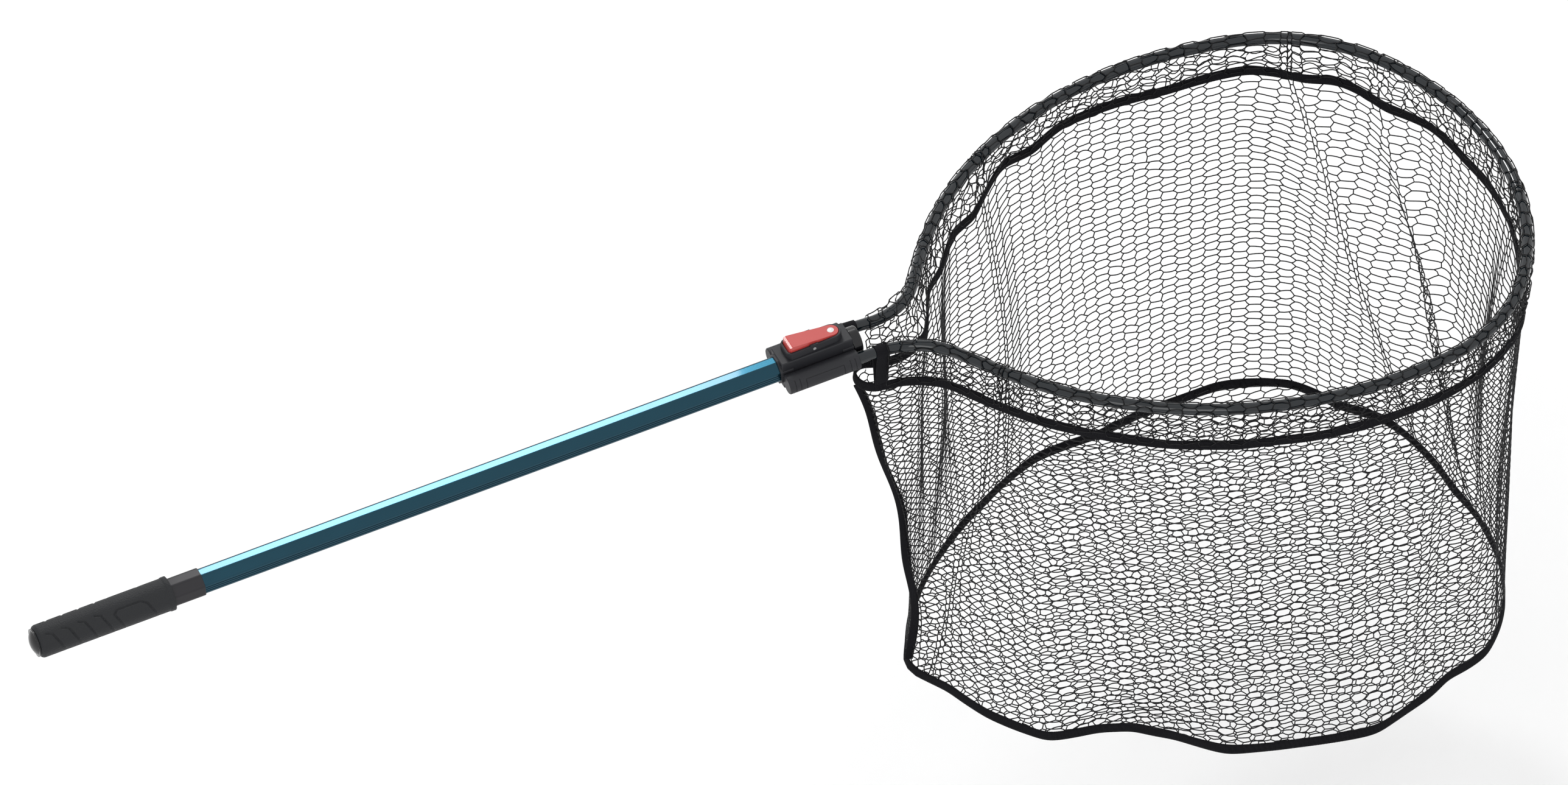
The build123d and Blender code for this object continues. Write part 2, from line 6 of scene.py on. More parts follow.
import bpy
import numpy as np
from mathutils import Matrix, Vector


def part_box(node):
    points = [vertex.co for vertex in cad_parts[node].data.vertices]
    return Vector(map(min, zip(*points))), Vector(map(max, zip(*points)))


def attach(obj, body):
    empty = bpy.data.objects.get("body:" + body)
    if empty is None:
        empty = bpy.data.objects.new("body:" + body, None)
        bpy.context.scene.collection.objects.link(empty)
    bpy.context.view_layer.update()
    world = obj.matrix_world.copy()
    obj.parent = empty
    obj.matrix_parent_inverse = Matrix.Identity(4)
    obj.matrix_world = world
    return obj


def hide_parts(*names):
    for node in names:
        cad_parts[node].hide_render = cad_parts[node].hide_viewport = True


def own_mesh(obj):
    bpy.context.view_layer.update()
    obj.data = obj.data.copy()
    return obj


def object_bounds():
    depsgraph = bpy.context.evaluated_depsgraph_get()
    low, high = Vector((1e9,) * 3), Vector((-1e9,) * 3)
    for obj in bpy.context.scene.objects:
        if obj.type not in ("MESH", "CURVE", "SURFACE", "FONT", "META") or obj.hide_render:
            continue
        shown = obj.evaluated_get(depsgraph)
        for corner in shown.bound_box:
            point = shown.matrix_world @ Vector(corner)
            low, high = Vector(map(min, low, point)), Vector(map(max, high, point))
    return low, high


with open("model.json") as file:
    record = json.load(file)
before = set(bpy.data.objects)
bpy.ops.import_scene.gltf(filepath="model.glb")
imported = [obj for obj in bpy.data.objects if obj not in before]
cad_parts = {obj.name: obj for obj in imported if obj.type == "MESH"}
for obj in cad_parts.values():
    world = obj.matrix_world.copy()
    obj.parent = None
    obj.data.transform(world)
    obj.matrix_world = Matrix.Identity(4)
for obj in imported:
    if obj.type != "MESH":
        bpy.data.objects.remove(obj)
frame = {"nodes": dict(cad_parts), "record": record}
cad_low, cad_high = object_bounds()

# ---------------------------------------------------------------- driving sizes

CAMERA_AZIMUTH, CAMERA_ELEVATION, CAMERA_ROLL = -19.1, 44.0, -6.75   # degrees
FRAME_WIDTH = 1.584         # what the picture takes in, across
LENS = 800.0                # long, because the view is almost parallel
SENSOR = 36.0
TARGET_RIGHT, TARGET_UP = 0.6883, 0.2275    # picture's middle, from the middle of the grip

STRAND = 0.00063            # radius of the coated cord
KNOT = 0.00085              # radius of the bead where cords meet
CELL_WIDTH, CELL_HEIGHT, CELL_SLANT = 0.0155, 0.0097, 0.0037
STRAND_SIDES = 6
LONG_STEPS, SHORT_STEPS = 5, 3              # points along the two kinds of strand
STRAY, BOW = 0.0007, 0.0006                 # how far corners and strands stray from an even mesh
RIM_STRAY, RIM_BOW = 0.0011, 0.0009

TILT = math.radians(5.1)    # the hoop's plane drops from the handle's line
LEG_Y = 0.0222
NECK_START, NECK_RADIUS = 0.018, 0.078
PEAK = np.array((0.448, 0.2734))
SHOULDER_RADIUS, CHEEK_RADIUS, CORNER_RADIUS = 0.411, 0.430, 0.192
CHEEK_ANGLE, CORNER_ANGLE = 12.0, 57.0
MOUTH_REAR = 0.015
FLOOR_INSET, FLOOR_SHIFT = 0.010, 0.023
FLOOR_REAR_HALF, FLOOR_REAR_BOW = 0.014, 0.002
TAPE_DEPTH, TAPE_WIDTH, TAPE_THICKNESS = 0.0485, 0.0124, 0.0022
FLOOR_DEPTH = 0.466
HOOP_RADIUS = 0.006

yoke_low, yoke_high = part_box("yoke_upper_shell")
ROOT_AHEAD = 0.0127         # from the yoke's front to where the hoop's plane meets its legs
HOOP_ROOT = np.array((yoke_high.x + ROOT_AHEAD, 0.0, yoke_low.z))
HOOP_AHEAD = np.array((math.cos(TILT), 0.0, -math.sin(TILT)))
HOOP_SIDE = np.array((0.0, 1.0, 0.0))
HOOP_UP = np.array((math.sin(TILT), 0.0, math.cos(TILT)))


def to_row(points):
    """Points (u ahead, v to the side, w up) of the hoop's plane, in the frame."""
    p = np.asarray(points, float)
    return HOOP_ROOT + p[..., :1] * HOOP_AHEAD + p[..., 1:2] * HOOP_SIDE + p[..., 2:3] * HOOP_UP


# ---------------------------------------------------------------- camera


def make_camera():
    """The photo's view: near side, looking down on the mouth of the bag."""
    azimuth, elevation = math.radians(CAMERA_AZIMUTH), math.radians(CAMERA_ELEVATION)
    back = Vector((
        math.sin(azimuth) * math.cos(elevation),
        -math.cos(azimuth) * math.cos(elevation),
        math.sin(elevation),
    ))
    turn = (-back).to_track_quat("-Z", "Y").to_matrix() @ Matrix.Rotation(math.radians(CAMERA_ROLL), 3, "Z")
    right, up = turn.col[0], turn.col[1]
    grip_low, grip_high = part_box("grip")
    grip_middle = (grip_low + grip_high) / 2
    target = grip_middle + right * TARGET_RIGHT + up * TARGET_UP
    data = bpy.data.cameras.new("camera")
    data.lens, data.sensor_width = LENS, SENSOR
    distance = FRAME_WIDTH * LENS / SENSOR
    data.clip_start, data.clip_end = 1.0, 200.0
    camera = bpy.data.objects.new("camera", data)
    bpy.context.scene.collection.objects.link(camera)
    camera.matrix_world = Matrix.Translation(target + back * distance) @ turn.to_4x4()
    bpy.context.scene.camera = camera


# ---------------------------------------------------------------- mesh helpers


def new_object(name, points, faces, material, smooth=True):
    """Mesh object from an array of points and a list of face arrays, each of one size of face."""
    mesh = bpy.data.meshes.new(name)
    faces = [np.asarray(f, np.int32) for f in faces if len(f)]
    corners = np.concatenate([f.ravel() for f in faces])
    sizes = np.concatenate([np.full(len(f), f.shape[1], np.int32) for f in faces])
    starts = np.concatenate(([0], np.cumsum(sizes)[:-1])).astype(np.int32)
    mesh.vertices.add(len(points))
    mesh.vertices.foreach_set("co", np.asarray(points, np.float32).ravel())
    mesh.loops.add(len(corners))
    mesh.loops.foreach_set("vertex_index", corners)
    mesh.polygons.add(len(sizes))
    mesh.polygons.foreach_set("loop_start", starts)
    mesh.polygons.foreach_set("loop_total", sizes)
    mesh.polygons.foreach_set("use_smooth", np.full(len(sizes), smooth))
    mesh.update(calc_edges=True)
    mesh.validate()
    obj = bpy.data.objects.new(name, mesh)
    bpy.context.scene.collection.objects.link(obj)
    mesh.materials.append(material)
    return obj


def unit(v):
    """Vectors along the last axis, at length 1."""
    return v / np.maximum(np.linalg.norm(v, axis=-1, keepdims=True), 1e-12)


def tubes(lines, radius, sides=STRAND_SIDES):
    """Closed tubes along many lines of the same number of points: (lines, points, 3)."""
    count, steps, _ = lines.shape
    ahead = unit(np.gradient(lines, axis=1))
    guide = np.where(np.abs(ahead[..., 2:3]) > 0.9, (1.0, 0.0, 0.0), (0.0, 0.0, 1.0))
    across = unit(np.cross(ahead, guide))
    over = np.cross(across, ahead)
    angle = np.arange(sides) * 2 * math.pi / sides
    ring = across[:, :, None] * np.cos(angle)[:, None] + over[:, :, None] * np.sin(angle)[:, None]
    points = lines[:, :, None] + radius * ring
    index = np.arange(count * steps * sides).reshape(count, steps, sides)
    after = np.roll(index, -1, axis=2)
    quads = np.stack((index[:, :-1], after[:, :-1], after[:, 1:], index[:, 1:]), axis=-1).reshape(-1, 4)
    caps = np.concatenate((index[:, 0, ::-1], index[:, -1]))
    return points.reshape(-1, 3), quads, caps


def knots(places, radius):
    """Small eight-faced beads where strands meet."""
    axes = np.array(((1, 0, 0), (0, 1, 0), (0, 0, 1), (-1, 0, 0), (0, -1, 0), (0, 0, -1)), float)
    faces = np.array(((0, 1, 2), (1, 3, 2), (3, 4, 2), (4, 0, 2), (1, 0, 5), (3, 1, 5), (4, 3, 5), (0, 4, 5)))
    points = places[:, None] + radius * axes
    return points.reshape(-1, 3), (np.arange(len(places))[:, None, None] * 6 + faces).reshape(-1, 3)


# ---------------------------------------------------------------- the bag's shape


def arc(centre, radius, start, end, steps=60):
    """Points (u, v) round a circle, from one angle in degrees to another."""
    angle = np.radians(np.linspace(start, end, steps))
    return np.stack((centre[0] + radius * np.cos(angle), centre[1] + radius * np.sin(angle)), axis=1)


def crown(shift, offset, shoulder_angle):
    """The far half's shoulder, cheek, corner and tip arcs, as in the CAD.

    shift moves them towards the handle, and offset is added to every radius.
    """
    peak = PEAK - (shift, 0)
    shoulder, cheek = peak - (0, SHOULDER_RADIUS), peak - (0, CHEEK_RADIUS)
    step = CHEEK_RADIUS - CORNER_RADIUS
    turn = math.radians(CHEEK_ANGLE)
    corner = cheek + (step * math.sin(turn), step * math.cos(turn))
    turn = math.radians(CORNER_ANGLE)
    tip_radius = (corner[1] + CORNER_RADIUS * math.cos(turn)) / math.cos(turn)
    tip = (corner[0] - (tip_radius - CORNER_RADIUS) * math.sin(turn), 0.0)
    return [
        arc(shoulder, SHOULDER_RADIUS + offset, shoulder_angle, 90),
        arc(cheek, CHEEK_RADIUS + offset, 90, 90 - CHEEK_ANGLE),
        arc(corner, CORNER_RADIUS + offset, 90 - CHEEK_ANGLE, 90 - CORNER_ANGLE),
        arc(tip, tip_radius + offset, 90 - CORNER_ANGLE, 0),
    ]


def hoop_side(first_u):
    """The far half of the hoop's line, from a place on its leg to the tip."""
    neck = np.array((NECK_START, LEG_Y + NECK_RADIUS))
    shoulder = PEAK - (0, SHOULDER_RADIUS)
    across = shoulder - neck
    flare = math.degrees(
        math.atan2(across[1], across[0]) + math.asin((NECK_RADIUS + SHOULDER_RADIUS) / np.linalg.norm(across))
    )
    leg = np.array(((first_u, LEG_Y), (NECK_START, LEG_Y)))
    return np.concatenate([leg, arc(neck, NECK_RADIUS, -90, flare - 90), *crown(0.0, 0.0, 90 + flare)])


def floor_side():
    """The far half of the floor's edge, from the rear seam to the tip."""
    centre = PEAK - (FLOOR_SHIFT, SHOULDER_RADIUS)
    radius = SHOULDER_RADIUS - FLOOR_INSET
    start_u = centre[0] - math.sqrt(radius**2 - (FLOOR_REAR_HALF - centre[1]) ** 2)
    angle = math.degrees(math.atan2(FLOOR_REAR_HALF - centre[1], start_u - centre[0]))
    return np.concatenate(crown(FLOOR_SHIFT, -FLOOR_INSET, angle))


class Loop:
    """A closed outline: s is 0 at the rear's middle, 0.5 at the tip and 1 at the rear again.

    It goes out along the near side, where v is below 0, and back along the far side.
    """

    def __init__(self, rear, side):
        half = np.concatenate((rear, side))
        half = half[np.concatenate(([True], np.linalg.norm(np.diff(half, axis=0), axis=1) > 1e-6))]
        along = np.concatenate(([0], np.cumsum(np.linalg.norm(np.diff(half, axis=0), axis=1))))
        self.half, self.along, self.length = half, along / along[-1], 2 * along[-1]

    def at(self, s):
        """Points (u, v) of the outline."""
        s = np.mod(s, 1.0)
        near = s <= 0.5
        t = np.where(near, 2 * s, 2 - 2 * s)
        u = np.interp(t, self.along, self.half[:, 0])
        v = np.interp(t, self.along, self.half[:, 1])
        return np.stack((u, np.where(near, -v, v)), axis=-1)

    def outward(self, s):
        """Unit normals of the outline."""
        step = 0.002
        ahead = self.at(s + step) - self.at(s - step)
        return unit(np.stack((ahead[..., 1], -ahead[..., 0]), axis=-1))


mouth = Loop(arc((MOUTH_REAR, 0), LEG_Y, 180, 90, 20), hoop_side(MOUTH_REAR))
floor_start = floor_side()[0]
floor_loop = Loop(
    np.array(((floor_start[0] - FLOOR_REAR_BOW, 0.0), (floor_start[0], FLOOR_REAR_HALF))), floor_side()
)


def loop_gap(s, centre):
    """How far s is past a place on the loop, the shorter way round."""
    return np.mod(s - centre + 0.5, 1.0) - 0.5


def bump(s, centre, width):
    """Smooth rise to 1 at a place on the loop."""
    return np.exp(-((loop_gap(s, centre) / width) ** 2))


def waves(s, seed, count, low, high):
    """Smooth random waviness round the loop, about -1 to 1, from low to high turns of it."""
    draw = np.random.default_rng(seed)
    total = np.zeros_like(s)
    for turns in draw.choice(np.arange(low, high + 1), count, replace=False):
        total = total + draw.uniform(0.5, 1.0) * np.sin(2 * math.pi * (turns * s + draw.random()))
    return total / count


def smooth_marks(marks, spread=0.006):
    """Soft curve round the loop near (place, value) marks, values in millimetres."""
    places = np.array([m[0] for m in marks])
    values = np.array([m[1] for m in marks]) / 1000
    grid = np.arange(1000) / 1000
    rough = np.interp(grid, places, values, period=1.0)
    gap = np.minimum(grid, 1 - grid)
    kernel = np.exp(-((gap / spread) ** 2))
    soft = np.fft.irfft(np.fft.rfft(rough) * np.fft.rfft(kernel / kernel.sum()), 1000)
    return lambda s: np.interp(np.mod(s, 1.0), grid, soft, period=1.0)


# how far the tape and the floor's edge stand out from their own smooth outlines
tape_out = smooth_marks((
    (0.0, -4), (0.02, 1), (0.043, -5), (0.08, 5), (0.12, 2), (0.16, 5), (0.19, 2), (0.24, 4), (0.30, 11),
    (0.34, 0), (0.39, 6), (0.44, -12), (0.48, -8), (0.53, -9), (0.56, -3), (0.588, -12), (0.62, 1),
    (0.637, -5), (0.665, 7), (0.71, 0), (0.77, 8), (0.794, -1), (0.815, 7), (0.85, -16), (0.87, -7),
    (0.895, -18), (0.917, -10), (0.94, -25), (0.965, -18), (0.985, -4),
))
floor_out = smooth_marks((
    (0.0, -4), (0.03, -7), (0.06, 4), (0.10, 10), (0.125, -18), (0.145, -27), (0.17, -18), (0.20, 6),
    (0.24, 10), (0.284, 21), (0.31, 9), (0.342, -2), (0.37, 12), (0.41, 13), (0.45, 9), (0.51, -4),
    (0.56, 5), (0.58, 8), (0.608, -3), (0.64, 11), (0.68, 6), (0.70, -3), (0.76, -19), (0.80, -8),
    (0.85, -13), (0.90, -11), (0.96, -4),
))


TAPE_DROOP, TAPE_WAVE = 0.5, 0.0015


def tape_depth(s):
    """Depth of the upper tape's middle, which hangs lower where it is slack and stands in."""
    return TAPE_DEPTH - TAPE_DROOP * tape_out(s) + TAPE_WAVE * waves(s, 3, 6, 10, 30)


# where the wall is gathered: place at the tape, place at the floor, width and strength, rear seam first
GATHERS = (
    (0.0, 0.0, 0.010, 0.50), (0.085, 0.016, 0.026, 0.76), (0.838, 0.828, 0.016, 0.74),
    (0.645, 0.552, 0.018, 0.80), (0.594, 0.484, 0.006, 0.84), (0.468, 0.476, 0.014, 0.70),
    (0.40, 0.392, 0.007, 0.50), (0.91, 0.92, 0.010, 0.55),
)
TAPE_PULL = 0.6             # share of the tape's own waviness that the mesh beside it takes
BELLY_WAVE, BELLY_SLANT = 0.009, 0.02       # the wall's swell halfway down, and how it runs round
PLEAT_DEPTH, PLEAT_SPREAD = 0.026, 1.4
REAR_HOLLOW, REAR_WIDTH = 0.019, 0.03       # how the rear seam is drawn in
REAR_RIPPLE, REAR_RIPPLES = 0.0025, 17.0    # its height, and its phase from top to bottom


def gathered(s, f=0.0):
    """Columns bunch up where the bag is gathered into its seams."""
    for top, low, width, strength in GATHERS:
        gap = loop_gap(s, top + (low - top) * f)
        s = s - strength * gap * np.exp(-((gap / width) ** 2))
    return s


def bag_point(s, f):
    """Point of the bag's wall: f is 0 at the upper tape and 1 at the floor's tape."""
    share = f[..., None]
    flat = mouth.at(s) * (1 - share) + floor_loop.at(s) * share
    normal = unit(mouth.outward(s) * (1 - share) + floor_loop.outward(s) * share)
    out = TAPE_PULL * tape_out(s) * (1 - f) ** 1.5 + floor_out(s) * f**1.5
    belly = np.sin(math.pi * np.clip(f, 0, 1))
    out = out + BELLY_WAVE * belly * waves(s + BELLY_SLANT * f, 11, 7, 9, 30)
    for top, low, width, strength in GATHERS[1:]:
        gap = loop_gap(s, top + (low - top) * f)
        out = out - PLEAT_DEPTH * strength * belly * np.exp(-((gap / (PLEAT_SPREAD * width)) ** 2))
    out = out - bump(s, 0.0, REAR_WIDTH) * (REAR_HOLLOW * belly + REAR_RIPPLE * np.sin(REAR_RIPPLES * f))
    flat = flat + normal * out[..., None]
    depth = tape_depth(s) * (1 - f) + FLOOR_DEPTH * f
    return to_row(np.concatenate((flat, -depth[..., None]), axis=-1))


# ---------------------------------------------------------------- netting


def hexagons(width, height, wrap=False):
    """Corner points and strands of an elongated hexagon mesh on a flat width by height piece.

    Long strands run along the width, and zigzags of short ones run down it. With wrap, the last
    column joins the first.
    """
    columns = 2 * round(width / CELL_WIDTH / 2)
    rows = round(height / CELL_HEIGHT)
    pitch_x, pitch_y = width / columns, height / rows
    slant = CELL_SLANT * pitch_x / CELL_WIDTH
    # each zigzag line i has corners j; a corner leans left or right by half the slant
    i, j = np.meshgrid(np.arange(columns + (0 if wrap else 1)), np.arange(2 * rows + 1), indexing="ij")
    lean = np.where((i + j) % 2 == 0, 0.5, -0.5) * slant
    x, y = i * pitch_x + lean, j * pitch_y / 2
    index = np.arange(i.size).reshape(i.shape)
    short = np.stack((index[:, :-1], index[:, 1:]), axis=-1).reshape(-1, 2)
    right = np.roll(index, -1, axis=0) if wrap else index[1:]
    left = index if wrap else index[:-1]
    joined = (i[: len(left)] + j[: len(left)]) % 2 == 0
    long = np.stack((left[joined], right[joined]), axis=-1)
    return np.stack((x.ravel(), y.ravel()), axis=1), long, short


def between(pairs, flat, low, high):
    """The strands whose first corner is from low up to high along the width."""
    start = flat[pairs[:, 0], 0]
    return pairs[(start >= low) & (start < high)]


def split(long, short, flat, span, parts):
    """Strands shared out among pieces by where they start along the width."""
    for part in range(parts):
        low, high = span * part / parts, span * (part + 1) / parts
        yield tuple(between(pairs, flat, low, high) for pairs in (long, short))


def weave(name, flat, place, long, short, span, bow, seed):
    """One piece of netting: its strands, and a bead wherever they meet.

    span is the width at which the flat mesh closes on itself, or 0, and bow how far strands stray.
    """
    draw = np.random.default_rng(seed)

    def lines(pairs, count):
        a, b = flat[pairs[:, 0]], flat[pairs[:, 1]].copy()
        if span:
            b[:, 0] += span * np.round((a[:, 0] - b[:, 0]) / span)
        t = np.linspace(0, 1, count)[None, :, None]
        path = a[:, None] * (1 - t) + b[:, None] * t
        path[..., 1] += draw.normal(0, bow, (len(pairs), 1)) * np.sin(math.pi * t[..., 0])
        return place(path[..., 0], path[..., 1])

    used = np.unique(np.concatenate((long.ravel(), short.ravel())))
    beads, bead_faces = knots(place(flat[used, 0], flat[used, 1]), KNOT)
    first = tubes(lines(long, LONG_STEPS), STRAND)
    second = tubes(lines(short, SHORT_STEPS), STRAND)
    count = len(first[0])
    points = np.concatenate((first[0], second[0], beads))
    quads = np.concatenate((first[1], second[1] + count))
    caps = np.concatenate((first[2], second[2] + count))
    return new_object(name, points, [quads, caps, bead_faces + count + len(second[0])], paint["netting"])


# ---------------------------------------------------------------- materials

WEAR_SCALE, WEAR_DETAIL = 22.0, 6.0
GRAIN_DETAIL = 4.0
RIB_DISTORTION = 0.4
GRAIN_HEIGHT = 0.0004
LEAST_ROUGHNESS = 0.03


def material(
    name, colour, metallic=0.0, roughness=0.4, grain=400, bump=0.1, shade=0.1, kind="noise",
    coat=0.0, stretch=(1, 1, 1), spread=0.12, specular=0.5,
):
    """Principled surface, with procedural grain in its height and slow wear in its tone and gloss.

    grain is the height pattern's scale, bump its strength, and stretch makes it finer along an axis.
    shade is how far the tone varies either way, and spread how far the roughness varies in all.
    """
    made = bpy.data.materials.new(name)
    made.use_nodes = True
    nodes, links = made.node_tree.nodes, made.node_tree.links
    shader = nodes["Principled BSDF"]
    shader.inputs["Metallic"].default_value = metallic
    shader.inputs["Coat Weight"].default_value = coat
    shader.inputs["Specular IOR Level"].default_value = specular
    place = nodes.new("ShaderNodeTexCoord")
    scaled = nodes.new("ShaderNodeMapping")
    scaled.inputs["Scale"].default_value = stretch
    links.new(place.outputs["Object"], scaled.inputs["Vector"])
    if kind == "cells":
        fine = nodes.new("ShaderNodeTexVoronoi")
        fine.inputs["Scale"].default_value = grain
        height = fine.outputs["Distance"]
    elif kind == "ribs":
        fine = nodes.new("ShaderNodeTexWave")
        fine.inputs["Scale"].default_value = grain
        fine.inputs["Distortion"].default_value = RIB_DISTORTION
        height = fine.outputs["Fac"]
    else:
        fine = nodes.new("ShaderNodeTexNoise")
        fine.inputs["Scale"].default_value = grain
        fine.inputs["Detail"].default_value = GRAIN_DETAIL
        height = fine.outputs["Fac"]
    links.new(scaled.outputs["Vector"], fine.inputs["Vector"])
    wear = nodes.new("ShaderNodeTexNoise")
    wear.inputs["Scale"].default_value = WEAR_SCALE
    wear.inputs["Detail"].default_value = WEAR_DETAIL
    links.new(place.outputs["Object"], wear.inputs["Vector"])
    tone = nodes.new("ShaderNodeMix")
    tone.data_type = "RGBA"
    tone.inputs["A"].default_value = (*(c * (1 - shade) for c in colour), 1)
    tone.inputs["B"].default_value = (*(min(1, c * (1 + shade)) for c in colour), 1)
    links.new(wear.outputs["Fac"], tone.inputs["Factor"])
    links.new(tone.outputs["Result"], shader.inputs["Base Color"])
    gloss = nodes.new("ShaderNodeMapRange")
    gloss.inputs["To Min"].default_value = max(LEAST_ROUGHNESS, roughness - spread / 2)
    gloss.inputs["To Max"].default_value = roughness + spread / 2
    links.new(wear.outputs["Fac"], gloss.inputs["Value"])
    links.new(gloss.outputs["Result"], shader.inputs["Roughness"])
    relief = nodes.new("ShaderNodeBump")
    relief.inputs["Strength"].default_value = bump
    relief.inputs["Distance"].default_value = GRAIN_HEIGHT
    links.new(height, relief.inputs["Height"])
    links.new(relief.outputs["Normal"], shader.inputs["Normal"])
    return made


FINISHES = {
    "anodised_tube": dict(
        colour=(0.009, 0.052, 0.080), metallic=1.0, roughness=0.22, grain=60, bump=0.05, shade=0.08,
        coat=0.35, stretch=(1, 12, 12),
    ),
    "grip_rubber": dict(
        colour=(0.018, 0.019, 0.021), roughness=0.56, grain=620, bump=0.85, shade=0.12, kind="cells",
        specular=0.22,
    ),
    "black_gloss": dict(
        colour=(0.004, 0.004, 0.005), roughness=0.18, grain=300, bump=0.02, coat=0.2, specular=0.35,
    ),
    "dark_sleeve": dict(
        colour=(0.022, 0.021, 0.024), metallic=0.2, grain=1500, bump=0.08, shade=0.08, specular=0.3,
    ),
    "yoke_plastic": dict(
        colour=(0.018, 0.0185, 0.022), roughness=0.48, grain=2200, bump=0.30, specular=0.28,
    ),
    "red_plastic": dict(
        colour=(0.47, 0.050, 0.045), roughness=0.34, grain=1800, bump=0.08, shade=0.05, coat=0.3,
    ),
    "bright_steel": dict(
        colour=(0.88, 0.88, 0.88), metallic=1.0, roughness=0.15, grain=800, bump=0.02, shade=0.03,
    ),
    "steel": dict(
        colour=(0.60, 0.60, 0.61), metallic=1.0, roughness=0.30, grain=900, bump=0.06, shade=0.08,
    ),
    "hoop_gloss": dict(
        colour=(0.001, 0.004, 0.007), roughness=0.08, grain=500, bump=0.02, shade=0.15, coat=0.15,
        spread=0.06,
    ),
    "netting": dict(
        colour=(0.006, 0.006, 0.007), roughness=0.45, grain=1500, bump=0.20, shade=0.25, specular=0.2,
    ),
    "webbing": dict(
        colour=(0.007, 0.007, 0.009), roughness=0.75, grain=260, bump=0.9, shade=0.30, kind="ribs",
        specular=0.12,
    ),
}
paint = {name: material(name, **finish) for name, finish in FINISHES.items()}
for row in frame["record"]["subparts"]:
    node = frame["nodes"][row["node"]]
    node.data.materials.clear()
    node.data.materials.append(paint[row["material_slot"]])


# ---------------------------------------------------------------- the bag

WALL_HEIGHT = FLOOR_DEPTH - TAPE_DEPTH
WALL_PARTS = 4


def hang(obj, node):
    """Make an object a piece of the head that stands for a CAD node, and hide that node."""
    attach(obj, "head")
    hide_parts(node)


def build_wall():
    """The side netting, in quarters, from the upper tape down to the floor's."""
    width = (mouth.length + floor_loop.length) / 2
    flat, long, short = hexagons(width, WALL_HEIGHT, wrap=True)
    flat = flat + np.random.default_rng(5).normal(0, STRAY, flat.shape)
    flat[:, 1] = np.clip(flat[:, 1], 0, WALL_HEIGHT)
    flat[:, 0] = np.mod(flat[:, 0], width)

    def place(x, y):
        f = np.clip(y / WALL_HEIGHT, 0, 1)
        return bag_point(gathered(x / width, f), f)

    for part, (some_long, some_short) in enumerate(split(long, short, flat, width, WALL_PARTS)):
        obj = weave(f"bag_wall_{part + 1}", flat, place, some_long, some_short, width, BOW, 20 + part)
        hang(obj, "net_side")


EDGE_SPREAD = 0.05          # how far in from its tape the floor's mesh is drawn with it
FLOOR_LIFT = 0.001          # of the mesh above its tape's middle
SAG, SAG_U, SAG_V = 0.003, 31, 27           # height, and radians in a metre each way
HALVINGS = 14               # steps of the search for where a strand meets the outline


def build_floor():
    """The bottom netting, in two halves, cut to the outline of its tape."""
    low_u, high_u = floor_loop.half[0, 0], floor_loop.half[-1, 0]
    half_v = floor_loop.half[:, 1].max()
    length, width = high_u - low_u, 2 * half_v
    flat, long, short = hexagons(length, width)
    flat = flat + np.random.default_rng(6).normal(0, STRAY, flat.shape) + (low_u, -half_v)

    def inside(p):
        """Whether points are within the floor's smooth outline."""
        return np.abs(p[..., 1]) < np.interp(p[..., 0], floor_loop.half[:, 0], floor_loop.half[:, 1], 0, 0)

    ring = np.arange(800) / 800
    rim, rim_out, rim_normal = floor_loop.at(ring), floor_out(ring), floor_loop.outward(ring)

    def nearest_on_rim(spot):
        """Which point of the outline is nearest, worked out in batches to save memory."""
        points = spot.reshape(-1, 2)
        found = [
            np.argmin(((some[:, None] - rim) ** 2).sum(axis=-1), axis=1)
            for some in np.array_split(points, max(1, len(points) // 2000))
        ]
        return np.concatenate(found).reshape(spot.shape[:-1])

    def place(u, v):
        """The floor's mesh, drawn out or in near its edge with the tape it is sewn to."""
        spot = np.stack((u, v), axis=-1)
        nearest = nearest_on_rim(spot)
        share = np.exp(-(np.linalg.norm(spot - rim[nearest], axis=-1) / EDGE_SPREAD) ** 2)
        spot = spot + rim_normal[nearest] * (rim_out[nearest] * share)[..., None]
        sag = SAG * np.sin(u * SAG_U) * np.cos(v * SAG_V)
        return to_row(np.concatenate((spot, (sag - FLOOR_DEPTH + FLOOR_LIFT)[..., None]), axis=-1))

    # strands that cross the outline are cut off at it
    chosen = []
    for pairs in (long, short):
        a, b = flat[pairs[:, 0]], flat[pairs[:, 1]]
        at_a, at_b = inside(a), inside(b)
        low, high = np.zeros(len(pairs)), np.ones(len(pairs))
        for _ in range(HALVINGS):
            middle = (low + high) / 2
            same = inside(a + (b - a) * middle[:, None]) == at_a
            low, high = np.where(same, middle, low), np.where(same, high, middle)
        edge = a + (b - a) * low[:, None]
        for cut, keep in ((at_a & ~at_b, 1), (at_b & ~at_a, 0)):
            rows = np.nonzero(cut)[0]
            fresh = len(flat) + np.arange(len(rows))
            flat = np.concatenate((flat, edge[rows]))
            pairs = pairs.copy()
            pairs[rows, keep] = fresh
        chosen.append(pairs[at_a | at_b])
    half_way = (low_u + high_u) / 2
    for part, (low, high) in enumerate(((low_u - length, half_way), (half_way, high_u + length))):
        some_long, some_short = (between(pairs, flat, low, high) for pairs in chosen)
        obj = weave(f"bag_floor_{part + 1}", flat, place, some_long, some_short, 0, BOW, 30 + part)
        hang(obj, "net_bottom")


RIM_START = 0.0155          # u of the rim's two ends, on the hoop's legs
RIM_CLEAR = 0.0013          # from the hoop's surface to the cord's middle
RIM_TOE = 0.0012            # half the gap between the two layers, at the tape
RUFFLE, RUFFLE_ALONG, RUFFLE_DOWN = 0.0022, 260, 90
RIM_SPARE = 1.001           # so that the last column falls in the last piece
LOOSE = ((0.010, 0.962, 0.014), (0.006, 0.93, 0.01), (0.004, 0.03, 0.01))   # rise, place and width


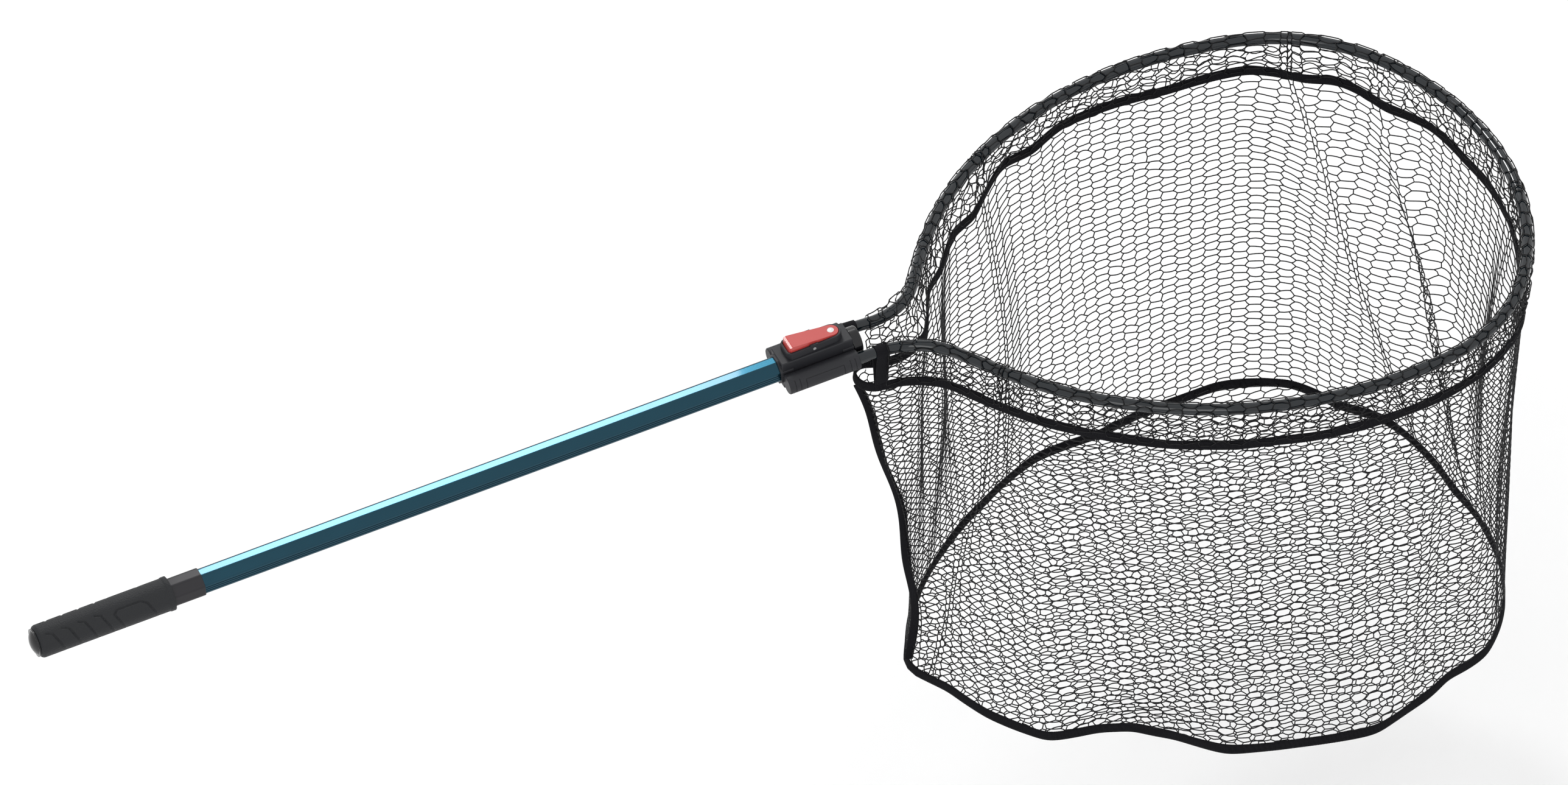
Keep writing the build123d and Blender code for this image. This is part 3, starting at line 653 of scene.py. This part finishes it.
def build_rim():
    """Double mesh band that wraps the hoop and closes into the upper tape."""
    first = mouth.along[np.argmax(mouth.half[:, 0] > RIM_START)] / 2
    width = mouth.length * (1 - 2 * first)
    radius = HOOP_RADIUS + RIM_CLEAR
    drop = TAPE_DEPTH
    height = 2 * drop + math.pi * radius
    flat, long, short = hexagons(width, height)
    flat = flat + np.random.default_rng(7).normal(0, RIM_STRAY, flat.shape)
    flat[:, 1] = np.clip(flat[:, 1], 0, height)
    flat[:, 0] = np.clip(flat[:, 0], 0, width)

    def place(x, y):
        s = first + x / width * (1 - 2 * first)
        s = np.clip(gathered(s), first, 1 - first)
        angle = np.clip((y - drop) / radius, 0, math.pi)
        hang_in, hang_out = np.clip(1 - y / drop, 0, 1), np.clip((y - height + drop) / drop, 0, 1)
        down = np.maximum(hang_in, hang_out)
        ruffle = RUFFLE * np.sin(math.pi * down) * np.sin(x * RUFFLE_ALONG + y * RUFFLE_DOWN)
        out = np.where(hang_in > 0, -1, 1) * (radius * (1 - down) + RIM_TOE * down) + ruffle
        over = (hang_in == 0) & (hang_out == 0)
        out = np.where(over, -radius * np.cos(angle), out)
        loose = sum(rise * bump(s, centre, spread) for rise, centre, spread in LOOSE)
        up = np.where(over, (radius + loose) * np.sin(angle), -down * tape_depth(s))
        out = out + TAPE_PULL * tape_out(s) * down**2
        base = mouth.at(s) + mouth.outward(s) * out[..., None]
        return to_row(np.concatenate((base, up[..., None]), axis=-1))

    for part, (some_long, some_short) in enumerate(split(long, short, flat, width * RIM_SPARE, 2)):
        obj = weave(f"rim_band_{part + 1}", flat, place, some_long, some_short, 0, RIM_BOW, 40 + part)
        hang(obj, "net_rim")


# a tape's section, as shares of its width and thickness, and how far every other row of it stands out
SECTION_ACROSS = np.array((-0.5, -0.42, -0.2, 0.2, 0.42, 0.5, 0.42, 0.2, -0.2, -0.42))
SECTION_OVER = np.array((0.0, 0.5, 0.5, 0.5, 0.5, 0.0, -0.5, -0.5, -0.5, -0.5))
RIB_PITCH, RIB_SHARE = 0.0016, 0.28


def ribbon(name, middle, side, face, width, thickness, closed_loop):
    """Woven tape swept along a line: side points across the tape and face out of it."""
    count, sides = len(middle), len(SECTION_ACROSS)
    rib = 1 + RIB_SHARE * np.cos(math.pi * np.arange(count))[:, None, None]
    points = middle[:, None] + side[:, None] * (SECTION_ACROSS * width)[:, None]
    points = points + face[:, None] * (SECTION_OVER * thickness)[:, None] * rib
    index = np.arange(count * sides).reshape(count, sides)
    following = np.roll(index, -1, axis=0) if closed_loop else index[1:]
    index_now = index if closed_loop else index[:-1]
    around, around_next = np.roll(index_now, -1, axis=1), np.roll(following, -1, axis=1)
    quads = np.stack((index_now, around, around_next, following), axis=-1).reshape(-1, 4)
    faces = [quads]
    if not closed_loop:
        faces.append(np.stack((index[0, ::-1], index[-1])))
    return new_object(name, points.reshape(-1, 3), faces, paint["webbing"])


SEAM_WIDTH, SEAM_THICKNESS, SEAM_BACK = 0.009, 0.0014, 0.0015
SEAM_ENDS = (0.02, 0.98)    # shares of the way down the wall
SEAM_AHEAD, SEAM_SIDE = 0.85, -0.5          # which way its width lies
SEAM_TWIST, SEAM_TWISTS = 0.35, 14
TAPE_LEAN = 0.25


def build_tapes():
    """The two binding tapes, and the rear seam between them."""
    for name, node, loop, f in (
        ("upper_tape_web", "upper_tape", mouth, 0.0),
        ("bottom_tape_web", "bottom_tape", floor_loop, 1.0),
    ):
        count = 2 * round(loop.length / RIB_PITCH)
        s = np.arange(count) / count
        middle = bag_point(s, np.full(count, f))
        flat_out = loop.outward(s)
        face = flat_out[:, :1] * HOOP_AHEAD + flat_out[:, 1:] * HOOP_SIDE
        lean = TAPE_LEAN * waves(s, 8, 6, 8, 26)[:, None]
        side = unit(face * lean - HOOP_UP)
        face = unit(face - side * np.sum(face * side, axis=1, keepdims=True))
        obj = ribbon(name, middle, side, face, TAPE_WIDTH, TAPE_THICKNESS, True)
        hang(obj, node)
    count = 2 * round(WALL_HEIGHT / RIB_PITCH)
    f = np.linspace(*SEAM_ENDS, count)
    middle = bag_point(np.zeros(count), f) - HOOP_AHEAD * SEAM_BACK
    ahead = unit(np.gradient(middle, axis=0))
    twist = SEAM_TWIST * np.sin(f * SEAM_TWISTS)[:, None]
    side = SEAM_AHEAD * HOOP_AHEAD + SEAM_SIDE * HOOP_SIDE + twist * HOOP_SIDE
    side = unit(side - ahead * np.sum(side * ahead, axis=1, keepdims=True))
    face = np.cross(side, ahead)
    obj = ribbon("rear_seam_web", middle, side, face, SEAM_WIDTH, SEAM_THICKNESS, False)
    hang(obj, "seam_tape")


build_tapes()
build_wall()
build_floor()
build_rim()


# ---------------------------------------------------------------- hand grip

GROOVE_DEPTH, GROOVE_HALF = 0.0013, 0.0010
GROOVE_TOP, GROOVE_LOW = 54.0, -44.0        # degrees above the horizontal, on each side
GROOVE_STEP, GROOVE_COUNT = 0.0178, 4
GROOVE_HOOK, GROOVE_CORNER, GROOVE_FOOT = 0.0099, 0.0159, 0.0294    # along the grip, from its rear end
PANEL = (
    (0.095, GROOVE_LOW), (0.083, 42), (0.087, GROOVE_TOP), (0.113, GROOVE_TOP), (0.119, 42),
    (0.131, GROOVE_LOW),
)
GRIP_RADIUS = 0.0175
GRIP_STATIONS, GRIP_SIDES = 300, 210
GRIP_ROUND = 0.005          # radius of its rear edge
LIP, LIP_BACK, LIP_SLOPE = 0.0007, 0.005, 0.0003    # raised band at its front end


def build_grip():
    """The rubber sleeve, with slanting grooves and a panel's outline moulded in, alike on both sides."""
    low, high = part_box("grip")
    radius, length = GRIP_RADIUS, high.x - low.x
    lines = [PANEL]
    for turn in range(GROOVE_COUNT):
        hook, corner, foot = (x + GROOVE_STEP * turn for x in (GROOVE_HOOK, GROOVE_CORNER, GROOVE_FOOT))
        lines.append(((hook, GROOVE_TOP + 6), (corner, GROOVE_TOP), (foot, GROOVE_LOW)))
    x = np.linspace(0, length, GRIP_STATIONS)
    around = np.arange(GRIP_SIDES) * 2 * math.pi / GRIP_SIDES
    station, angle = np.meshgrid(x, around, indexing="ij")
    # height above the horizontal, the same on both sides
    lift = np.degrees(np.arcsin(np.sin(angle)))
    arc_scale = math.radians(radius)
    gap = np.full(station.shape, 1.0)
    spot = np.stack((station, lift * arc_scale), axis=-1)
    for line in lines:
        ends = [np.array((p[0], p[1] * arc_scale)) for p in line]
        for a, b in zip(ends, ends[1:]):
            t = np.clip(((spot - a) @ (b - a)) / ((b - a) @ (b - a)), 0, 1)
            gap = np.minimum(gap, np.linalg.norm(spot - (a + t[..., None] * (b - a)), axis=-1))
    depth = GROOVE_DEPTH * np.exp(-((gap / GROOVE_HALF) ** 2))
    shape = np.full(station.shape, radius)
    rear = np.clip(GRIP_ROUND - station, 0, GRIP_ROUND)
    shape -= GRIP_ROUND - np.sqrt(np.maximum(GRIP_ROUND**2 - rear**2, 0))
    shape += LIP / (1 + np.exp(-(station - (length - LIP_BACK)) / LIP_SLOPE))
    shape -= depth
    points = np.stack((low.x + station, shape * np.cos(angle), shape * np.sin(angle)), axis=-1)
    index = np.arange(station.size).reshape(station.shape)
    turned = np.roll(index, -1, axis=1)
    quads = np.stack((index[:-1], turned[:-1], turned[1:], index[1:]), axis=-1).reshape(-1, 4)
    caps = np.stack((index[0, ::-1], index[-1]))
    obj = new_object("grip_sleeve", points.reshape(-1, 3), [quads, caps], paint["grip_rubber"])
    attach(obj, "handle")
    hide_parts("grip")


build_grip()


# ---------------------------------------------------------------- return spring under the lever

SPRING_TURNS, SPRING_WIRE = 5, 0.00035      # the wire's radius
SPRING_STEPS, SPRING_SIDES = 32, 10         # points in a turn, and round the wire


def build_spring():
    """The same coil as the CAD's, swept as a wire on a mesh of its own."""
    low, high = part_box("latch_spring")
    centre = (low + high) / 2
    radius = (high.y - low.y) / 2 - SPRING_WIRE
    turn = np.linspace(0, SPRING_TURNS * 2 * math.pi, SPRING_TURNS * SPRING_STEPS + 1)
    rise = np.linspace(low.z + SPRING_WIRE, high.z - SPRING_WIRE, len(turn))
    line = np.stack((centre.x + radius * np.cos(turn), radius * np.sin(turn), rise), axis=1)
    points, quads, caps = tubes(line[None], SPRING_WIRE, SPRING_SIDES)
    obj = new_object("lever_spring", points, [quads, caps], paint["steel"])
    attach(obj, "head")
    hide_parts("latch_spring")
    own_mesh(obj)


build_spring()


# ---------------------------------------------------------------- studio


def area_light(name, place, aim, size, power):
    """Square lamp turned towards a point; size in metres and power in watts."""
    data = bpy.data.lights.new(name, "AREA")
    data.size, data.energy = size, power
    lamp = bpy.data.objects.new(name, data)
    bpy.context.scene.collection.objects.link(lamp)
    lamp.location = place
    lamp.rotation_euler = (Vector(aim) - Vector(place)).to_track_quat("-Z", "Y").to_euler()


FLOOR_BELOW = 0.30          # the net is held up by its grip, clear of the floor
FLOOR_HALF = 30.0
WORLD_STRENGTH = 0.98
LAMPS = (
    ("overhead", (1.1, 2.2, 2.3), (0.5, 0, 0), 0.7, 30),
    ("front", (-0.6, -2.8, 1.8), (0.6, 0, 0), 2.0, 22),
)


def build_studio():
    """White surroundings, a pale floor that takes a faint shadow, and the lamps."""
    level = cad_low[2] - FLOOR_BELOW
    corners = ((-1, -1), (1, -1), (1, 1), (-1, 1))
    points = np.array([(FLOOR_HALF * x, FLOOR_HALF * y, level) for x, y in corners])
    backdrop = material(
        "pale_floor", (0.88, 0.88, 0.88), roughness=0.9, grain=30, bump=0.02, shade=0.005, spread=0.02
    )
    floor = new_object("studio_floor", points, [np.array([[0, 1, 2, 3]])], backdrop, smooth=False)
    world = bpy.data.worlds.new("studio")
    world.use_nodes = True
    background = world.node_tree.nodes["Background"]
    background.inputs["Color"].default_value = (1, 1, 1, 1)
    background.inputs["Strength"].default_value = WORLD_STRENGTH
    bpy.context.scene.world = world
    for lamp in LAMPS:
        area_light(*lamp)


make_camera()
build_studio()
bpy.context.scene.view_settings.view_transform = "Standard"
